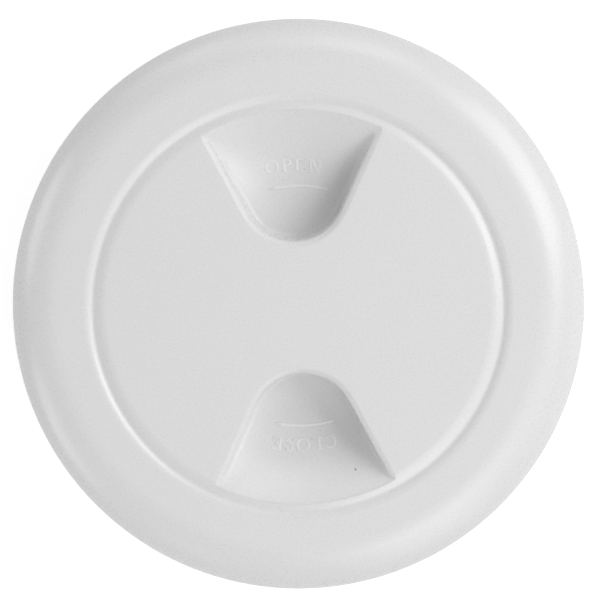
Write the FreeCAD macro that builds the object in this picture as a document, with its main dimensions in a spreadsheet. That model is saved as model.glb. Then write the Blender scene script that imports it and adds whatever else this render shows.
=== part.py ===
import FreeCAD, Part
import math
import os
import re

import Sketcher

# Screw-in inspection port for a deck, in millimetres and degrees, +Z up.
# Z = 0 is the deck face under the flange, and the origin is the centre of the screw circle.
# Three pieces: the moulded screw cap, its rubber seal ring and the deck ring it screws into.

SIZES = {
    # Deck ring, from the clear bore outwards
    "bore_diameter": 105.0,
    "neck_wall": 3.2,
    "neck_depth": 18.0,
    "land_width": 4.4,
    "land_height": 0.6,
    "screw_band": 10.1,
    "flange_thickness": 2.6,
    "flange_bevel": 0.6,
    "bore_chamfer": 0.5,
    "neck_chamfer": 0.8,
    "screw_count": 6,
    "screw_hole": 4.3,
    "screw_head": 8.2,
    # Seal ring and its seat under the cap
    "seal_cord": 2.8,
    "seal_clearance": 0.1,
    "seal_side_room": 0.3,
    "seal_rib_wall": 1.2,
    "seal_rib_gap": 1.0,
    # Screw cap: brim and skirt
    "cap_wall": 2.8,
    "brim_cover": 5.5,
    "brim_gap": 0.6,
    "brim_edge": 0.9,
    "brim_fall": 12.0,
    "brim_bevel": 0.3,
    "thread_room": 2.0,
    "skirt_wall": 2.4,
    "skirt_depth": 10.5,
    # Shallow moulded groove above the skirt
    "groove_offset": 1.2,
    "groove_inner_slope": 2.6,
    "groove_outer_slope": 1.7,
    "groove_depth": 0.85,
    "groove_ease": 0.5,
    "groove_floor": 0.5,
    # Two finger pockets
    "pocket_tip": 16.6,
    "pocket_tip_radius": 13.2,
    "pocket_flare": 26.0,
    "pocket_draft": 3.0,
    "pocket_depth": 11.0,
    "pocket_rise": 27.0,
    "pocket_overrun": 0.8,
    "pocket_corner": 0.8,
    "pocket_bevel": 1.1,
    "pocket_wall": 2.4,
}

# Sizes that follow from the ones above, as formulas of the sheet
DERIVED = {
    "bore_radius": "bore_diameter / 2",
    "neck_radius": "bore_radius + neck_wall",
    "land_radius": "bore_radius + land_width",
    "flange_radius": "land_radius + screw_band",
    "screw_radius": "land_radius + screw_band / 2",
    "land_top": "flange_thickness + land_height",
    "seal_radius": "bore_radius + bore_chamfer + seal_cord / 2",
    "seal_height": "land_top + seal_clearance + seal_cord / 2",
    "seal_rib_inner": "seal_radius + seal_cord / 2 + seal_side_room",
    "seal_rib_outer": "seal_rib_inner + seal_rib_wall",
    "seal_rib_low": "land_top + seal_rib_gap",
    "cap_under": "land_top + seal_cord + 2 * seal_clearance",
    "cap_top": "cap_under + cap_wall",
    "cap_radius": "flange_radius + brim_cover",
    "brim_flat": "cap_radius - brim_fall",
    "brim_low": "brim_gap + brim_edge",
    "brim_drop": "cap_top - brim_low",
    "brim_arc": "(brim_fall * brim_fall + brim_drop * brim_drop) / (2 * brim_drop)",
    "brim_inner_arc": "brim_arc - cap_wall",
    "brim_inner_drop": "brim_arc - cap_top + brim_gap",
    "brim_inner_run": "sqrt(brim_inner_arc * brim_inner_arc - brim_inner_drop * brim_inner_drop)",
    "brim_inner_turn": "asin(brim_inner_run / brim_inner_arc)",
    "skirt_radius": "bore_radius - thread_room",
    "skirt_inner": "skirt_radius - skirt_wall",
    "groove_radius": "skirt_radius + groove_offset",
    "groove_inner": "groove_radius - groove_inner_slope",
    "groove_outer": "groove_radius + groove_outer_slope",
    "groove_inner_ease": "groove_depth * groove_ease / (groove_inner_slope - groove_floor / 2)",
    "groove_outer_ease": "groove_depth * groove_ease / (groove_outer_slope - groove_floor / 2)",
    "pocket_mouth": "groove_inner + pocket_overrun",
    "pocket_centre": "pocket_tip + pocket_tip_radius",
    "pocket_level": "pocket_mouth - pocket_rise",
    "pocket_arc": "(pocket_rise * pocket_rise + pocket_depth * pocket_depth) / (2 * pocket_depth)",
    "pocket_skin_side": "pocket_wall / cos(pocket_draft)",
}

# Distance within which an edge counts as being at a place
NEAR = 0.01
# Flats of the seal cord's section
SEAL_SIDES = 8
# Height above the cap at which the walls of the pocket forms start
POCKET_HEADROOM = 2.0
# Length by which the walls of a pocket form run under its floor, and its floor form over the walls
POCKET_SPARE = 1.0
# A face of a pocket form belongs to its floor where its normal points down by more than this
FLOOR_FACING = 0.5

doc = FreeCAD.newDocument("inspection_port")


# Spreadsheet of the sizes
sheet = doc.addObject("Spreadsheet::Sheet", "size")
for row, (name, value) in enumerate({**SIZES, **DERIVED}.items(), start=1):
    sheet.set("A%d" % row, name)
    sheet.set("B%d" % row, "=" + value if name in DERIVED else str(value))
    sheet.setAlias("B%d" % row, name)
doc.recompute()


def bound(formula):
    """The formula with each size name pointed at the sheet."""
    def cell(word):
        return "size." + word.group() if word.group() in SIZES or word.group() in DERIVED else word.group()
    return re.sub(r"[a-z_]+", cell, formula)


def measure(formula):
    """The number that a formula of sizes comes to."""
    return float(sheet.evalExpression(bound(formula)))


def new(kind, name, **bindings):
    """Adds an object with its properties bound to formulas of sizes."""
    thing = doc.addObject(kind, name)
    for prop, formula in bindings.items():
        thing.setExpression(prop, bound(formula))
    return thing


def arc_side(start, end, radius, turn):
    """Arc from start to end, turning left (1) or right (-1)."""
    chord = end - start
    across = FreeCAD.Vector(-chord.y, chord.x, 0).normalize()
    rise = math.sqrt(radius ** 2 - (chord.Length / 2) ** 2)
    centre = start + chord / 2 + across * rise * turn
    first, last = (start, end) if turn > 0 else (end, start)
    angles = [math.atan2(p.y - centre.y, p.x - centre.x) for p in (first, last)]
    return Part.ArcOfCircle(Part.Circle(centre, FreeCAD.Vector(0, 0, 1), radius), *angles)


def draw(sketch, corners, arcs=None):
    """Draws a closed outline. Each corner is two formulas; arcs maps a side to a radius formula and a turn."""
    arcs = arcs or {}
    points = [FreeCAD.Vector(measure(x), measure(y), 0) for x, y in corners]
    count = len(points)
    ends = []
    for side in range(count):
        start, end = points[side], points[(side + 1) % count]
        if side in arcs:
            radius, turn = arcs[side]
            sketch.addGeometry(arc_side(start, end, measure(radius), turn))
            ends.append((1, 2) if turn > 0 else (2, 1))
        else:
            sketch.addGeometry(Part.LineSegment(start, end))
            ends.append((1, 2))
    for side in range(count):
        after = (side + 1) % count
        sketch.addConstraint(Sketcher.Constraint("Coincident", side, ends[side][1], after, ends[after][0]))
    for side, (radius, turn) in arcs.items():
        held = sketch.addConstraint(Sketcher.Constraint("Radius", side, measure(radius)))
        sketch.setExpression("Constraints[%d]" % held, bound(radius))
    for side, corner in enumerate(corners):
        for kind, axis, formula in (("DistanceX", -2, corner[0]), ("DistanceY", -1, corner[1])):
            if formula == "0":
                sketch.addConstraint(Sketcher.Constraint("PointOnObject", side, ends[side][0], axis))
            else:
                held = sketch.addConstraint(
                    Sketcher.Constraint(kind, -1, 1, side, ends[side][0], measure(formula)))
                sketch.setExpression("Constraints[%d]" % held, bound(formula))


def body_sketch(body, name, role):
    """A sketch on one of the body's own origin planes."""
    sketch = body.newObject("Sketcher::SketchObject", name)
    plane = [item for item in body.Origin.OriginFeatures if item.Role == role][0]
    sketch.AttachmentSupport = [(plane, "")]
    sketch.MapMode = "FlatFace"
    return sketch


def turned(body, name, corners, arcs=None):
    """Revolves an outline drawn in the XZ plane about Z."""
    sketch = body_sketch(body, name + "_profile", "XZ_Plane")
    draw(sketch, corners, arcs)
    feature = body.newObject("PartDesign::Revolution", name)
    feature.Profile = sketch
    feature.ReferenceAxis = (sketch, ["V_Axis"])
    feature.Angle = 360
    doc.recompute()
    return feature


def dress(body, kind, name, prop, formula, rings):
    """Rounds or chamfers the full circles at the given radius and height."""
    base = body.Tip
    edges = []
    for radius, height in rings:
        r, z = measure(radius), measure(height)
        for number, edge in enumerate(base.Shape.Edges, start=1):
            box = edge.BoundBox
            if abs(box.ZMin - z) + abs(box.ZMax - z) + abs(box.XMax - r) < NEAR:
                edges.append("Edge%d" % number)
    feature = body.newObject("PartDesign::" + kind, name)
    feature.Base = (base, edges)
    feature.setExpression(prop, bound(formula))
    doc.recompute()
    return feature


# Deck ring: flange on the deck, raised sealing land and neck through the cut-out
ring = doc.addObject("PartDesign::Body", "deck_ring")
turned(ring, "ring_section", [
    ("bore_radius", "-neck_depth"),
    ("neck_radius", "-neck_depth"),
    ("neck_radius", "0"),
    ("flange_radius", "0"),
    ("flange_radius", "flange_thickness"),
    ("land_radius", "flange_thickness"),
    ("land_radius", "land_top"),
    ("bore_radius", "land_top"),
])
dress(ring, "Chamfer", "flange_edge", "Size", "flange_bevel", [("flange_radius", "flange_thickness")])
dress(ring, "Chamfer", "bore_lead", "Size", "bore_chamfer", [("bore_radius", "land_top")])
dress(ring, "Chamfer", "neck_lead", "Size", "neck_chamfer", [("neck_radius", "-neck_depth")])

# One countersunk screw hole, repeated round the flange
hole_sketch = body_sketch(ring, "screw_hole_centre", "XY_Plane")
hole_sketch.addGeometry(Part.Circle(FreeCAD.Vector(measure("screw_radius"), 0, 0),
                                    FreeCAD.Vector(0, 0, 1), measure("screw_hole / 2")))
hole_sketch.addConstraint(Sketcher.Constraint("PointOnObject", 0, 3, -1))
held = hole_sketch.addConstraint(Sketcher.Constraint("DistanceX", -1, 1, 0, 3, measure("screw_radius")))
hole_sketch.setExpression("Constraints[%d]" % held, bound("screw_radius"))
held = hole_sketch.addConstraint(Sketcher.Constraint("Radius", 0, measure("screw_hole / 2")))
hole_sketch.setExpression("Constraints[%d]" % held, bound("screw_hole / 2"))
hole = ring.newObject("PartDesign::Pocket", "screw_hole_cut")
hole.Profile = hole_sketch
hole.Type = "ThroughAll"
hole.Midplane = True
doc.recompute()
holes = ring.newObject("PartDesign::PolarPattern", "screw_holes")
holes.Originals = [hole]
holes.Axis = (hole_sketch, ["N_Axis"])
holes.Angle = 360
holes.setExpression("Occurrences", bound("screw_count"))
ring.Tip = holes
doc.recompute()
hole_rims = []
for number, edge in enumerate(holes.Shape.Edges, start=1):
    box = edge.BoundBox
    level = abs(box.ZMin - measure("flange_thickness")) + abs(box.ZLength) < NEAR
    if level and abs(box.XLength - measure("screw_hole")) < NEAR:
        hole_rims.append("Edge%d" % number)
sinks = ring.newObject("PartDesign::Chamfer", "screw_countersinks")
sinks.Base = (holes, hole_rims)
sinks.setExpression("Size", bound("(screw_head - screw_hole) / 2"))
doc.recompute()

# Seal ring, lying on the land and under the cap
seal = doc.addObject("PartDesign::Body", "seal_ring")
reach = "seal_cord / 2 / cos(180 / %d)" % SEAL_SIDES
turns = ["%.4f" % (360 / SEAL_SIDES * (side + 0.5)) for side in range(SEAL_SIDES)]
turned(seal, "seal_section", [
    ("seal_radius + %s * cos(%s)" % (reach, turn), "seal_height + %s * sin(%s)" % (reach, turn))
    for turn in turns])

# Cap section: flat centre, moulded groove, brim that falls to the deck, seat of the seal and skirt
shell = doc.addObject("PartDesign::Body", "cap_shell")
turned(shell, "cap_section", [
    ("0", "cap_top"),
    ("0", "cap_under"),
    ("skirt_inner", "cap_under"),
    ("skirt_inner", "-skirt_depth"),
    ("skirt_radius", "-skirt_depth"),
    ("skirt_radius", "cap_under"),
    ("seal_rib_inner", "cap_under"),
    ("seal_rib_inner", "seal_rib_low"),
    ("seal_rib_outer", "seal_rib_low"),
    ("seal_rib_outer", "cap_under"),
    ("brim_flat", "cap_under"),
    ("brim_flat + brim_inner_arc * sin(brim_inner_turn / 2)",
     "cap_top - brim_arc + brim_inner_arc * cos(brim_inner_turn / 2)"),
    ("brim_flat + brim_inner_run", "brim_gap"),
    ("cap_radius", "brim_gap"),
    ("cap_radius", "brim_low"),
    ("brim_flat", "cap_top"),
    ("groove_outer + groove_ease", "cap_top"),
    ("groove_outer - groove_ease", "cap_top - groove_outer_ease"),
    ("groove_radius + groove_floor / 2", "cap_top - groove_depth"),
    ("groove_radius - groove_floor / 2", "cap_top - groove_depth"),
    ("groove_inner + groove_ease", "cap_top - groove_inner_ease"),
    ("groove_inner - groove_ease", "cap_top"),
], {14: ("brim_arc", 1)})
dress(shell, "Chamfer", "brim_lip", "Size", "brim_bevel", [("cap_radius", "brim_low")])


def pocket_outline(name, height, growth):
    """Plan outline of a pocket at one height: a round tip and two flared sides."""
    tip = "(pocket_tip_radius + %s)" % growth
    far = "(2 * pocket_mouth)"
    tangent_y = "(pocket_centre - %s * sin(pocket_flare))" % tip
    tangent_x = "(%s * cos(pocket_flare))" % tip
    far_x = "(%s + (%s - %s) * tan(pocket_flare))" % (tangent_x, far, tangent_y)
    sketch = doc.addObject("Sketcher::SketchObject", name)
    draw(sketch, [
        ("-" + tangent_x, tangent_y),
        (tangent_x, tangent_y),
        (far_x, far),
        ("-" + far_x, far),
    ], {0: (tip, 1)})
    sketch.setExpression(".Placement.Base.z", bound(height))
    return sketch


def pocket_floor(name, skin):
    """Solid over the floor of a pocket: level round the axis, then rising to the mouth as an arc."""
    floor = doc.addObject("PartDesign::Body", name)
    over = POCKET_HEADROOM + POCKET_SPARE
    top = "cap_top + %.1f" % over
    low = "cap_top - pocket_depth - " + skin
    arc = "(pocket_arc + %s)" % skin
    rise = "(pocket_arc - pocket_depth - %.1f)" % over
    turned(floor, name + "_section", [
        ("0", low),
        ("pocket_level", low),
        ("pocket_level + sqrt(%s * %s - %s * %s)" % (arc, arc, rise, rise), top),
        ("0", top),
    ], {1: (arc, 1)})
    return floor


def pocket_form(name, floor, side_skin, skin):
    """Solid of a finger pocket: steep drafted walls down to its floor, with a bevel all round the floor."""
    head = "%.1f" % POCKET_HEADROOM
    reach = "(pocket_depth + %s + %.1f)" % (skin, POCKET_SPARE)
    walls = doc.addObject("Part::Loft", name + "_walls")
    walls.Sections = [
        pocket_outline(name + "_upper", "cap_top + " + head,
                       "(%s + %s * tan(pocket_draft))" % (side_skin, head)),
        pocket_outline(name + "_lower", "cap_top - " + reach,
                       "(%s - %s * tan(pocket_draft))" % (side_skin, reach)),
    ]
    walls.Solid = True
    walls.Ruled = True
    core = doc.addObject("Part::MultiCommon", name + "_core")
    core.Shapes = [walls, floor]
    doc.recompute()

    under = [face for face in core.Shape.Faces
             if face.normalAt(*face.Surface.parameter(face.CenterOfMass)).z < -FLOOR_FACING]
    leg = measure("pocket_corner + %s * (2 - sqrt(2))" % skin)
    bevels = []
    for number, edge in enumerate(core.Shape.Edges, start=1):
        shared = sum(any(edge.isSame(other) for other in face.Edges) for face in under)
        if shared == 1 and edge.BoundBox.ZMin < measure("cap_top"):
            bevels.append((number, leg, leg))
    form = doc.addObject("Part::Chamfer", name)
    form.Base = core
    form.Edges = bevels
    doc.recompute()
    return form


def both_ends(form):
    """The form and its mirror image at the other end of the cap."""
    mirrored = doc.addObject("Part::Mirroring", form.Name + "_mirrored")
    mirrored.Source = form
    mirrored.Normal = (0, 1, 0)
    return [form, mirrored]


# Skin of each pocket: the pocket grown by its wall, kept under the top of the cap and inside the skirt
within = new("Part::Cylinder", "under_the_cap", Radius="skirt_inner + skirt_wall / 2",
             Height="2 * skirt_depth + cap_under + cap_wall / 2")
within.setExpression(".Placement.Base.z", bound("-2 * skirt_depth"))
skin_floor = pocket_floor("pocket_skin_floor", "pocket_wall")
grown = pocket_form("pocket_skin", skin_floor, "pocket_skin_side", "pocket_wall")
skin = doc.addObject("Part::MultiCommon", "pocket_skin_under")
skin.Shapes = [grown, within]
filled = doc.addObject("Part::MultiFuse", "cap_filled")
filled.Shapes = [shell] + both_ends(skin)

# Hollow of each pocket, with a bevel along its rim that runs out where the floor meets the groove
hollow_floor = pocket_floor("pocket_hollow_floor", "0")
hollow = pocket_form("pocket_hollow", hollow_floor, "0", "0")
flare = "(%s + pocket_bevel - pocket_bevel * tan(pocket_draft))"
head = "%.1f" % POCKET_HEADROOM
foot = "(0 - pocket_bevel - %.1f)" % POCKET_SPARE
rim = doc.addObject("Part::Loft", "pocket_rim_walls")
rim.Sections = [pocket_outline("pocket_rim_upper", "cap_top + " + head, flare % head),
                pocket_outline("pocket_rim_lower", "cap_top + " + foot, flare % foot)]
rim.Solid = True
rim.Ruled = True
bevel = doc.addObject("Part::MultiCommon", "pocket_rim_bevel")
bevel.Shapes = [rim, hollow_floor]
hollows = doc.addObject("Part::MultiFuse", "pocket_hollows")
hollows.Shapes = both_ends(hollow) + both_ends(bevel)
cap = doc.addObject("Part::Cut", "screw_cap")
cap.Base = filled
cap.Tool = hollows
doc.recompute()

# Check and write
pieces = {"screw_cap": cap, "seal_ring": seal, "deck_ring": ring}
for thing in doc.Objects:
    if "Invalid" in thing.State or "Error" in thing.State:
        raise RuntimeError("%s is %s" % (thing.Name, thing.State))
os.makedirs("parts", exist_ok=True)
for name, piece in pieces.items():
    piece.Label = name
    if piece.Shape.isNull() or not piece.Shape.isValid() or len(piece.Shape.Solids) != 1:
        raise RuntimeError(name + " is not one valid solid")
    piece.Shape.exportStep("parts/%s.step" % name)
    print(name, round(piece.Shape.Volume), "mm3", len(piece.Shape.Faces), "faces")
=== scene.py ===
import math

import bmesh
import bpy
from mathutils import Matrix, Vector
from mathutils.bvhtree import BVHTree
from mathutils.geometry import delaunay_2d_cdt


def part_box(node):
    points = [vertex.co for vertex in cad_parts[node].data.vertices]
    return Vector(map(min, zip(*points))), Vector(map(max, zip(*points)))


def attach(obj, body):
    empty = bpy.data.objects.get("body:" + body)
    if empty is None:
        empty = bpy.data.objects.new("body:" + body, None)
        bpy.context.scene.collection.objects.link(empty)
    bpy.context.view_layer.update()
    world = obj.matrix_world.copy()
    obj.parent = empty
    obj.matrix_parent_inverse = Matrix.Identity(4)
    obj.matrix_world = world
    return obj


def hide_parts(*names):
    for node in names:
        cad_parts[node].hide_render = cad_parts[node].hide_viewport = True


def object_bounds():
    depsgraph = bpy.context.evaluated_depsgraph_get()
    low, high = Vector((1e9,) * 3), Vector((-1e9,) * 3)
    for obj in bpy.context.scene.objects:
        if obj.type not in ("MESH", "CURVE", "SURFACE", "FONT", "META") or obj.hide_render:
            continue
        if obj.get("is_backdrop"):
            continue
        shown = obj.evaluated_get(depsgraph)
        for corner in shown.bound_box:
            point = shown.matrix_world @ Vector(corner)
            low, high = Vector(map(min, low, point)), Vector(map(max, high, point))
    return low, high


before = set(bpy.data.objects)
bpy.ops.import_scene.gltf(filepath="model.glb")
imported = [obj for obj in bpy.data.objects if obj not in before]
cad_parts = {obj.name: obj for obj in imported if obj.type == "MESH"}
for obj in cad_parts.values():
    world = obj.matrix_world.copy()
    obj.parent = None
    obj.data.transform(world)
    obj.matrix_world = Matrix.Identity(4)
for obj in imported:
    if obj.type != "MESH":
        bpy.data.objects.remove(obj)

cad_low, cad_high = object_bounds()
mm = 0.001

# The screw cap
# One injection moulding in white ABS: a flat disc with a turned-down brim, two finger pockets to grip
# it by and a threaded skirt below. It leaves the mould with a fine spark-eroded satin on every face.
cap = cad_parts["screw_cap"]
cap_low, cap_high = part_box("screw_cap")
cap_top = cap_high.z

abs_white = "#DCDCDC"
abs_second = "#DADADA"
abs_roughness = 0.28
abs_ior = 1.53
# A real grain of this satin is about 0.05 mm, too fine to show, so it is drawn at 0.5 mm
grain_size = 0.5 * mm
grain_height = 0.002 * mm
# Slow waves left by uneven cooling, a few centimetres long and a few microns high
sink_size = 22 * mm
sink_height = 0.010 * mm
flow_size = 30 * mm
gloss_spread = 0.03
# The real rims are small rounds. The solids have straight bevels, so the shader softens every edge over 1 mm
mould_round = 1.0 * mm
round_samples = 16
# One dark speck of dust, half a millimetre across, lies near the wide end of the lower pocket
speck_place = (12.8 * mm, -42.0 * mm, 4.2 * mm)
speck_core = 0.12 * mm
speck_edge = 0.38 * mm
speck_grey = "#6C6C6B"


def hex_colour(code):
    """Linear RGBA of an sRGB hex colour."""
    channels = [int(code[i:i + 2], 16) / 255 for i in (1, 3, 5)]
    return [c / 12.92 if c <= 0.04045 else ((c + 0.055) / 1.055) ** 2.4 for c in channels] + [1.0]


def add_node(tree, kind, links=None, **settings):
    """Adds one node. Settings name its properties or, with _ for spaces, its sockets; links feed sockets."""
    node = tree.nodes.new(kind)
    for name, value in settings.items():
        if hasattr(node, name):
            setattr(node, name, value)
        else:
            node.inputs[name.replace("_", " ")].default_value = value
    for socket, source in (links or {}).items():
        tree.links.new(source, node.inputs[socket])
    return node


def moulded_plastic(name, main, second, roughness, grain, height, edge):
    """Satin moulded plastic: a fine grain, slow sink waves, soft edges and a faint change of tint."""
    material = bpy.data.materials.new(name)
    material.use_nodes = True
    tree = material.node_tree
    tree.nodes.clear()
    place = add_node(tree, "ShaderNodeTexCoord").outputs["Object"]
    flow = add_node(tree, "ShaderNodeTexNoise", {"Vector": place}, Scale=1 / flow_size, Detail=2.0)
    tint = add_node(tree, "ShaderNodeMix", {"Factor": flow.outputs["Fac"]}, data_type="RGBA")
    tint.inputs["A"].default_value = hex_colour(main)
    tint.inputs["B"].default_value = hex_colour(second)
    away = add_node(tree, "ShaderNodeVectorMath", {0: place}, operation="DISTANCE")
    away.inputs[1].default_value = speck_place
    clean = add_node(tree, "ShaderNodeMapRange", {"Value": away.outputs["Value"]},
                     interpolation_type="SMOOTHSTEP", From_Min=speck_core, From_Max=speck_edge)
    speckled = add_node(tree, "ShaderNodeMix", {"Factor": clean.outputs["Result"], "B": tint.outputs[2]},
                        data_type="RGBA")
    speckled.inputs["A"].default_value = hex_colour(speck_grey)
    fine = add_node(tree, "ShaderNodeTexNoise", {"Vector": place}, Scale=1 / grain, Detail=1.0)
    slow = add_node(tree, "ShaderNodeTexNoise", {"Vector": place}, Scale=1 / sink_size, Detail=0.0)
    gloss = add_node(tree, "ShaderNodeMapRange", {"Value": fine.outputs["Fac"]},
                     To_Min=roughness - gloss_spread, To_Max=roughness + gloss_spread)
    round_edge = add_node(tree, "ShaderNodeBevel", samples=round_samples, Radius=edge)
    waves = add_node(tree, "ShaderNodeBump",
                     {"Height": slow.outputs["Fac"], "Normal": round_edge.outputs["Normal"]},
                     Distance=sink_height * 2)
    satin = add_node(tree, "ShaderNodeBump",
                     {"Height": fine.outputs["Fac"], "Normal": waves.outputs["Normal"]},
                     Distance=height * 2)
    shader = add_node(tree, "ShaderNodeBsdfPrincipled",
                      {"Base Color": speckled.outputs[2], "Roughness": gloss.outputs["Result"],
                       "Normal": satin.outputs["Normal"]}, IOR=abs_ior)
    add_node(tree, "ShaderNodeOutputMaterial", {"Surface": shader.outputs["BSDF"]})
    return material


white_abs = moulded_plastic("moulded_white_ABS", abs_white, abs_second, abs_roughness, grain_size,
                            grain_height, mould_round)
cap.material_slots[0].material = white_abs

# The words and arrows in the finger pockets
# Raised by the same mould tool, a tenth of a millimetre proud of the pocket floors with sloping sides:
# which way to turn the cap to open and to close it. The letters stand on a circle round the cap's axis.
letter_height = 3.3 * mm
letter_width = 3.65 * mm
letter_foot = 34.0 * mm
letter_middle = letter_foot + letter_height / 2
letter_gap = 0.5 * mm
stem = 0.19
hair = 0.13
serif = 0.10
word_rise = 0.11 * mm
word_slope = 0.10 * mm
word_foot = 0.03 * mm
word_root = 0.25 * mm
open_arrow_radius = 30.3 * mm
open_arrow_shift = 0.8 * mm
close_arrow_radius = 30.8 * mm
close_arrow_shift = -0.1 * mm
arrow_width = 0.65 * mm
arrow_length = 15.7 * mm
arrow_head = 3.0 * mm
arrow_head_width = 1.5 * mm
arrow_steps = 24
raised_crease = math.radians(45)
above_cap = 5 * mm

# The same plastic, drawn a little brighter: a painted highlight, which makes the raised strokes paler than the
# floors of the pockets where relief this low doesn't give that by itself
raised_painted_highlight_white = "#E8E8E8"
raised_round = 0.1 * mm
raised_abs_painted_highlight = moulded_plastic("raised_ABS_painted_highlight", raised_painted_highlight_white, raised_painted_highlight_white, abs_roughness, grain_size,
                             grain_height, raised_round)
cap_mesh = bmesh.new()
cap_mesh.from_mesh(cap.data)
cap_tree = BVHTree.FromBMesh(cap_mesh)
cap_mesh.free()


def skin_height(x, y):
    """Height of the cap's upper skin over a point."""
    return cap_tree.ray_cast(Vector((x, y, cap_top + above_cap)), Vector((0, 0, -1)))[0].z


def bar(x0, y0, x1, y1, x2=None, x3=None):
    """An upright or slanted bar, from its foot x0..x1 to its head, which may stand to one side."""
    return [[(x0, y0), (x1, y0), (x1 if x3 is None else x3, y1), (x0 if x2 is None else x2, y1)]]


def bowl(cx, cy, rx, ry, thick, thin, start, end, steps=18):
    """Part of a ring, heavy at its sides and light at its top and foot, as short quads."""
    quads = []
    angles = [math.radians(start + (end - start) * i / steps) for i in range(steps + 1)]
    outer = [(cx + rx * math.cos(a), cy + ry * math.sin(a)) for a in angles]
    inner = [(cx + (rx - thick) * math.cos(a), cy + (ry - thin) * math.sin(a)) for a in angles]
    for i in range(steps):
        quads.append([outer[i], outer[i + 1], inner[i + 1], inner[i]])
    return quads


def feet(x, width, heights):
    """Flat serifs across a stem."""
    return [q for y in heights for q in bar(x - serif, y, x + width + serif, y + hair * 0.8)]


top_line = 1 - hair * 0.8
letters = {
    "O": (0.98, bowl(0.49, 0.5, 0.49, 0.54, stem, hair, 0, 360, 36)),
    "P": (0.78, bar(0.12, 0, 0.12 + stem, 1) + feet(0.12, stem, (0, top_line))
          + bowl(0.36, 0.72, 0.38, 0.28, stem, hair, -90, 90) + bar(0.2, 0.44, 0.37, 0.44 + hair)
          + bar(0.2, 1 - hair, 0.37, 1)),
    "E": (0.80, bar(0.12, 0, 0.12 + stem, 1) + feet(0.12, stem, (0, top_line))
          + bar(0.2, 0, 0.76, hair) + bar(0.2, 1 - hair, 0.72, 1) + bar(0.2, 0.47, 0.56, 0.47 + hair)
          + bar(0.70, 0, 0.78, 0.27, 0.74, 0.78) + bar(0.70, 0.75, 0.74, 1, 0.66, 0.74)
          + bar(0.52, 0.37, 0.58, 0.65)),
    "N": (0.94, bar(0.14, 0, 0.14 + hair, 1) + bar(0.76, 0, 0.76 + hair, 1)
          + bar(0.70, 0, 0.84, 1, 0.12, 0.12 + stem * 1.3) + feet(0.14, hair, (0, top_line))
          + feet(0.76, hair, (top_line,))),
    "C": (0.86, bowl(0.46, 0.5, 0.46, 0.52, stem, hair, 42, 318, 30)
          + bar(0.72, 0.66, 0.79, 0.98) + bar(0.74, 0.10, 0.80, 0.26)),
    "L": (0.74, bar(0.12, 0, 0.12 + stem, 1) + feet(0.12, stem, (0, top_line))
          + bar(0.2, 0, 0.72, hair) + bar(0.66, 0, 0.74, 0.28, 0.70, 0.74)),
    "S": (0.62, bowl(0.31, 0.75, 0.27, 0.27, stem * 0.8, hair, 30, 225, 20)
          + bowl(0.31, 0.25, 0.27, 0.27, stem * 0.8, hair, -150, 45, 20)
          + bar(0.395, 0.40, 0.51, 0.60, 0.11, 0.225)
          + bar(0.50, 0.70, 0.56, 0.98) + bar(0.06, 0.02, 0.12, 0.30)),
}


def raised_from(name, quads, place):
    """Joins flat quads into one outline, lays it on the cap's skin with place() and raises it."""
    points, faces = [], []
    for quad in quads:
        turned = sum(a[0] * b[1] - b[0] * a[1] for a, b in zip(quad, quad[1:] + quad[:1]))
        quad = quad if turned > 0 else quad[::-1]
        faces.append(list(range(len(points), len(points) + len(quad))))
        points += [Vector(p) for p in quad]
    verts, _, polys, _, _, sources = delaunay_2d_cdt(points, [], faces, 0, 1e-5)
    mesh = bmesh.new()
    top = [mesh.verts.new((v.x, v.y, 0)) for v in verts]
    for poly, source in zip(polys, sources):
        if source:
            mesh.faces.new([top[i] for i in poly])
    bmesh.ops.delete(mesh, geom=[v for v in mesh.verts if not v.link_faces], context="VERTS")
    for face in mesh.faces:
        if face.normal.z < 0:
            face.normal_flip()
    crest = mesh.faces[:]
    bmesh.ops.inset_region(mesh, faces=crest, thickness=word_slope, use_even_offset=True, use_boundary=True)
    crest = {vert for face in crest for vert in face.verts}
    rim = [edge for edge in mesh.edges if len(edge.link_faces) == 1]
    wall = bmesh.ops.extrude_edge_only(mesh, edges=rim)["geom"]
    root = {v for v in wall if isinstance(v, bmesh.types.BMVert)}
    for vert in mesh.verts:
        x, y = place(vert.co.x, vert.co.y)
        rise = word_rise if vert in crest else -word_root if vert in root else -word_foot
        vert.co = (x, y, skin_height(x, y) + rise)
    bmesh.ops.recalc_face_normals(mesh, faces=mesh.faces)
    data = bpy.data.meshes.new(name)
    mesh.to_mesh(data)
    mesh.free()
    piece = bpy.data.objects.new(name, data)
    bpy.context.scene.collection.objects.link(piece)
    # The raised strokes get the brighter copy of the plastic, a painted highlight
    data.materials.append(raised_abs_painted_highlight)
    data.shade_smooth()
    data.set_sharp_from_angle(angle=raised_crease)
    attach(piece, "cap")
    return piece


def round_the_cap(turn, radius):
    """Places (along, outwards) on circles round the axis; along is measured at radius, right of turn."""
    def place(along, out):
        angle = turn - along / radius
        return out * math.cos(angle), out * math.sin(angle)
    return place


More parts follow.
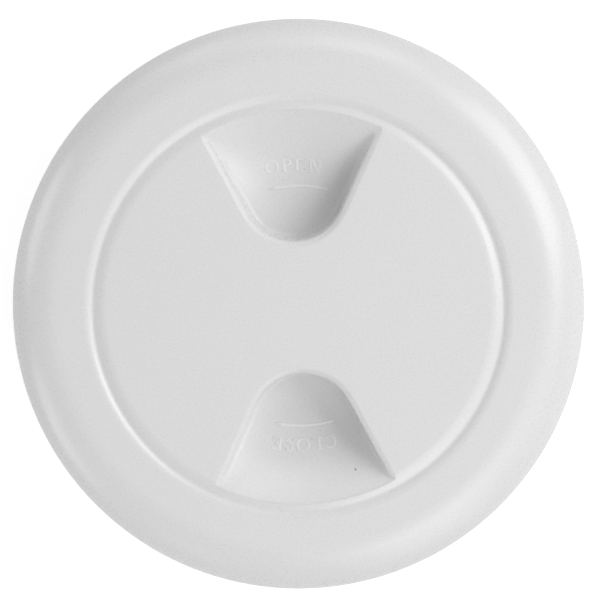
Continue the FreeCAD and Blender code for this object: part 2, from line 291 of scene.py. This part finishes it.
for word, turn, arrow_radius, arrow_shift in (
        ("OPEN", math.pi / 2, open_arrow_radius, open_arrow_shift),
        ("CLOSE", -math.pi / 2, close_arrow_radius, close_arrow_shift)):
    width = sum(letters[c][0] * letter_width for c in word) + letter_gap * (len(word) - 1)
    along = -width / 2
    quads = []
    for c in word:
        quads += [[(along + x * letter_width, letter_foot + y * letter_height) for x, y in q]
                  for q in letters[c][1]]
        along += letters[c][0] * letter_width + letter_gap
    raised_from(word.lower() + "_word", quads, round_the_cap(turn, letter_middle))
    # Each arrow points the way that the pocket moves: to the left for open, to the right for close
    way = -1 if word == "OPEN" else 1
    start = arrow_shift - way * arrow_length / 2
    tip = arrow_shift + way * arrow_length / 2
    end = tip - way * arrow_head
    xs = [start + (end - start) * i / arrow_steps for i in range(arrow_steps + 1)]
    low, high = arrow_radius - arrow_width / 2, arrow_radius + arrow_width / 2
    quads = [[(a, low), (b, low), (b, high), (a, high)] for a, b in zip(xs, xs[1:])]
    half = arrow_head_width / 2
    quads.append([(end, arrow_radius - half), (tip, arrow_radius), (end, arrow_radius + half)])
    raised_from(word.lower() + "_arrow", quads, round_the_cap(turn, arrow_radius))

# The screw threads
# Coarse moulded ridges, one and a quarter turns each, right-handed at 5 mm a turn: one round the cap's
# skirt and one inside the deck ring. They run past each other with a little play, as moulded threads do.
pitch = 5.0 * mm
thread_turns = 1.25
skirt_radius = 50.5 * mm
bore_radius = 52.5 * mm
cap_crest = 51.85 * mm
ring_crest = 51.15 * mm
ridge_root = 0.9 * mm
ridge_crest = 0.4 * mm
thread_sink = 0.25 * mm
# Degrees over which each end of a ridge fades, and sections drawn in one turn
thread_fade = 22
sections_a_turn = 120
thread_crease = math.radians(25)
cap_thread_low = -9.4 * mm
ring_thread_low = -6.9 * mm
ring_thread_start = 90


def thread_ridge(name, body, material, root, crest, low, start):
    """A helical ridge standing on the root radius, which fades out at both ends."""
    mesh = bmesh.new()
    steps = int(sections_a_turn * thread_turns)
    rings = []
    inside = root + (thread_sink if crest < root else -thread_sink)
    for i in range(steps + 1):
        turned = 360 * thread_turns * i / steps
        fade = min(1, turned / thread_fade, (360 * thread_turns - turned) / thread_fade)
        fade = fade * fade * (3 - 2 * fade)
        angle = math.radians(start + turned)
        z = low + pitch * turned / 360
        peak = root + (crest - root) * fade
        section = [(inside, -ridge_root), (root, -ridge_root), (peak, -ridge_crest),
                   (peak, ridge_crest), (root, ridge_root), (inside, ridge_root)]
        rings.append([mesh.verts.new((r * math.cos(angle), r * math.sin(angle), z + dz))
                      for r, dz in section])
    for a, b in zip(rings, rings[1:]):
        for j in range(len(a)):
            mesh.faces.new((a[j], b[j], b[(j + 1) % len(a)], a[(j + 1) % len(a)]))
    mesh.faces.new(rings[0])
    mesh.faces.new(rings[-1])
    bmesh.ops.recalc_face_normals(mesh, faces=mesh.faces)
    data = bpy.data.meshes.new(name)
    mesh.to_mesh(data)
    mesh.free()
    data.materials.append(material)
    data.shade_smooth()
    data.set_sharp_from_angle(angle=thread_crease)
    piece = bpy.data.objects.new(name, data)
    bpy.context.scene.collection.objects.link(piece)
    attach(piece, body)


thread_ridge("cap_thread", "cap", white_abs, skirt_radius, cap_crest, cap_thread_low, 0)

# The deck ring
# Moulded in the same white plastic as the cap and screwed to the deck through six countersunk holes.
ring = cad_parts["deck_ring"]
ring.material_slots[0].material = white_abs
thread_ridge("ring_thread", "ring", white_abs, bore_radius, ring_crest, ring_thread_low,
             ring_thread_start)

# The seal
# A round cord of black nitrile rubber, joined into a ring. It has the dull bloom of moulded rubber.
seal_low, seal_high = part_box("seal_ring")
cord = (seal_high.z - seal_low.z) / 2
seal_radius = seal_high.x - cord
seal_steps = 160
cord_steps = 20
rubber_black = "#1B1B1C"
rubber_bloom = "#2A2A2A"
bloom_size = 1.2 * mm
bloom_height = 0.02 * mm
rubber_roughness = 0.6
rubber_ior = 1.52
rubber = bpy.data.materials.new("moulded_nitrile_rubber")
rubber.use_nodes = True
tree = rubber.node_tree
tree.nodes.clear()
place = add_node(tree, "ShaderNodeTexCoord").outputs["Object"]
bloom = add_node(tree, "ShaderNodeTexNoise", {"Vector": place}, Scale=1 / bloom_size, Detail=4.0)
tint = add_node(tree, "ShaderNodeMix", {"Factor": bloom.outputs["Fac"]}, data_type="RGBA")
tint.inputs["A"].default_value = hex_colour(rubber_black)
tint.inputs["B"].default_value = hex_colour(rubber_bloom)
bump = add_node(tree, "ShaderNodeBump", {"Height": bloom.outputs["Fac"]}, Distance=bloom_height)
shader = add_node(tree, "ShaderNodeBsdfPrincipled",
                  {"Base Color": tint.outputs[2], "Normal": bump.outputs["Normal"]},
                  Roughness=rubber_roughness, IOR=rubber_ior)
add_node(tree, "ShaderNodeOutputMaterial", {"Surface": shader.outputs["BSDF"]})
seal_mesh = bmesh.new()
loops = []
for i in range(seal_steps):
    a = 2 * math.pi * i / seal_steps
    loops.append([])
    for j in range(cord_steps):
        b = 2 * math.pi * j / cord_steps
        out = seal_radius + cord * math.cos(b)
        loops[-1].append(seal_mesh.verts.new((out * math.cos(a), out * math.sin(a),
                                              seal_low.z + cord + cord * math.sin(b))))
for i in range(seal_steps):
    a, b = loops[i - 1], loops[i]
    for j in range(cord_steps):
        seal_mesh.faces.new((a[j - 1], b[j - 1], b[j], a[j]))
bmesh.ops.recalc_face_normals(seal_mesh, faces=seal_mesh.faces)
seal_data = bpy.data.meshes.new("round_seal")
seal_mesh.to_mesh(seal_data)
seal_mesh.free()
seal_data.shade_smooth()
seal_data.materials.append(rubber)
seal = bpy.data.objects.new("round_seal", seal_data)
bpy.context.scene.collection.objects.link(seal)
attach(seal, "seal")
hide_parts("seal_ring")

# The floor
# A plain pale grey sheet under the part. It glows up to white where the camera sees it, directly, in a
# gloss or through glass, so that it keeps a soft shadow and throws little light on the brim's edge.
floor_size = 3.0
floor_grey = "#BDBDBD"
floor_glow = 0.76


def seen_or_mirrored(tree):
    """1 for what the camera sees, directly, in a gloss or through glass; 0 for what lights the object."""
    path = add_node(tree, "ShaderNodeLightPath")
    gloss = add_node(tree, "ShaderNodeMath",
                     {0: path.outputs["Is Camera Ray"], 1: path.outputs["Is Glossy Ray"]}, operation="MAXIMUM")
    glass = add_node(tree, "ShaderNodeMath", {0: gloss.outputs[0], 1: path.outputs["Is Transmission Ray"]},
                     operation="MAXIMUM")
    return glass.outputs[0]


floor_mesh = bpy.data.meshes.new("floor")
half = floor_size / 2
corners = [(-half, -half, 0), (half, -half, 0), (half, half, 0), (-half, half, 0)]
floor_mesh.from_pydata(corners, [], [(0, 1, 2, 3)])
floor = bpy.data.objects.new("floor", floor_mesh)
floor.location.z = cad_low.z
bpy.context.scene.collection.objects.link(floor)
floor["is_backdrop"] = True
paper = bpy.data.materials.new("pale_paper")
paper.use_nodes = True
tree = paper.node_tree
tree.nodes.clear()
glow = add_node(tree, "ShaderNodeMath", {0: seen_or_mirrored(tree)}, operation="MULTIPLY")
glow.inputs[1].default_value = floor_glow
light = add_node(tree, "ShaderNodeEmission", {"Strength": glow.outputs[0]})
sheet = add_node(tree, "ShaderNodeBsdfDiffuse")
sheet.inputs["Color"].default_value = hex_colour(floor_grey)
both = add_node(tree, "ShaderNodeAddShader", {0: sheet.outputs[0], 1: light.outputs[0]})
add_node(tree, "ShaderNodeOutputMaterial", {"Surface": both.outputs[0]})
floor_mesh.materials.append(paper)

# The light
# Soft boxes a metre away. A tall key on the right rakes the right-hand wall of each pocket and gleams on
# the brim, and large round ones fill from below and the left. Their watts come from a least-squares fit
# of the picture's brightness to the photograph's, changed afterwards.
light_distance = 1.0
roll = 2.3
lamps = (
    # azimuth anticlockwise from the photograph's right, elevation, width and height in metres, watts
    (28, 34, 0.60, 0.80, 4.98),
    (10, 40, 0.5, 0.5, 0.94),
    (345, 50, 0.5, 0.5, 0.20),
    (315, 45, 1.0, 1.0, 2.08),
    (300, 50, 0.5, 0.5, 1.27),
    (300, 30, 0.5, 0.5, 0.15),
    (300, 15, 0.5, 0.5, 0.58),
    (75, 30, 0.5, 0.5, 0.84),
    (90, 20, 1.0, 1.0, 2.13),
    (120, 12, 0.5, 0.5, 0.71),
    (135, 20, 1.0, 1.0, 0.18),
    (165, 12, 0.5, 0.5, 1.70),
    (180, 20, 1.0, 1.0, 0.74),
    (210, 12, 0.5, 0.5, 1.17),
    (225, 20, 1.0, 1.0, 1.79),
    (270, 20, 1.0, 1.0, 1.44),
    (315, 20, 1.0, 1.0, 0.39),
    (0, 90, 1.0, 1.0, 1.22),
)
for number, (azimuth, elevation, width, height, watts) in enumerate(lamps):
    lamp = bpy.data.lights.new("soft_box_%02d" % number, "AREA")
    lamp.shape = "DISK" if width == height else "RECTANGLE"
    lamp.size = width
    lamp.size_y = height
    lamp.energy = watts
    box = bpy.data.objects.new(lamp.name, lamp)
    a, e = math.radians(azimuth - roll), math.radians(elevation)
    box.location = light_distance * Vector(
        (math.cos(a) * math.cos(e), math.sin(a) * math.cos(e), math.sin(e)))
    box.rotation_mode = "QUATERNION"
    box.rotation_quaternion = (-box.location).to_track_quat("-Z", "Y")
    box.visible_camera = False
    bpy.context.scene.collection.objects.link(box)
studio = bpy.data.worlds.new("studio")
studio.use_nodes = True
tree = studio.node_tree
tree.nodes.clear()
backdrop = add_node(tree, "ShaderNodeBackground", {"Strength": seen_or_mirrored(tree)})
backdrop.inputs["Color"].default_value = (1, 1, 1, 1)
add_node(tree, "ShaderNodeOutputWorld", {"Surface": backdrop.outputs[0]})
bpy.context.scene.world = studio

# The camera
# Nearly straight above, leaning a little towards the top of the picture, with the cap turned 2.3 degrees.
lean = math.radians(4.3)
turn = math.radians(roll)
camera_distance = 0.8
rim_in_picture = 286.1
picture = 600
aim = Vector((0, 0, 2 * mm))
up = Vector((math.sin(turn), math.cos(turn), 0))
back = (Vector((0, 0, 1)) * math.cos(lean) + up * math.sin(lean)).normalized()
across = up.cross(back).normalized()
upward = back.cross(across).normalized()
lens = bpy.data.cameras.new("camera")
camera = bpy.data.objects.new("camera", lens)
bpy.context.scene.collection.objects.link(camera)
camera.location = aim + back * camera_distance
camera.rotation_mode = "QUATERNION"
camera.rotation_quaternion = Matrix((across, upward, back)).transposed().to_quaternion()
lens.sensor_width = 36
half_view = cap_high.x * picture / (2 * rim_in_picture)
lens.lens = lens.sensor_width / 2 * camera_distance / half_view
lens.shift_x = 0.0025
lens.shift_y = 0.0097
lens.clip_start = 0.01
bpy.context.scene.camera = camera
bpy.context.scene.view_settings.view_transform = "Standard"

low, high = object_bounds()
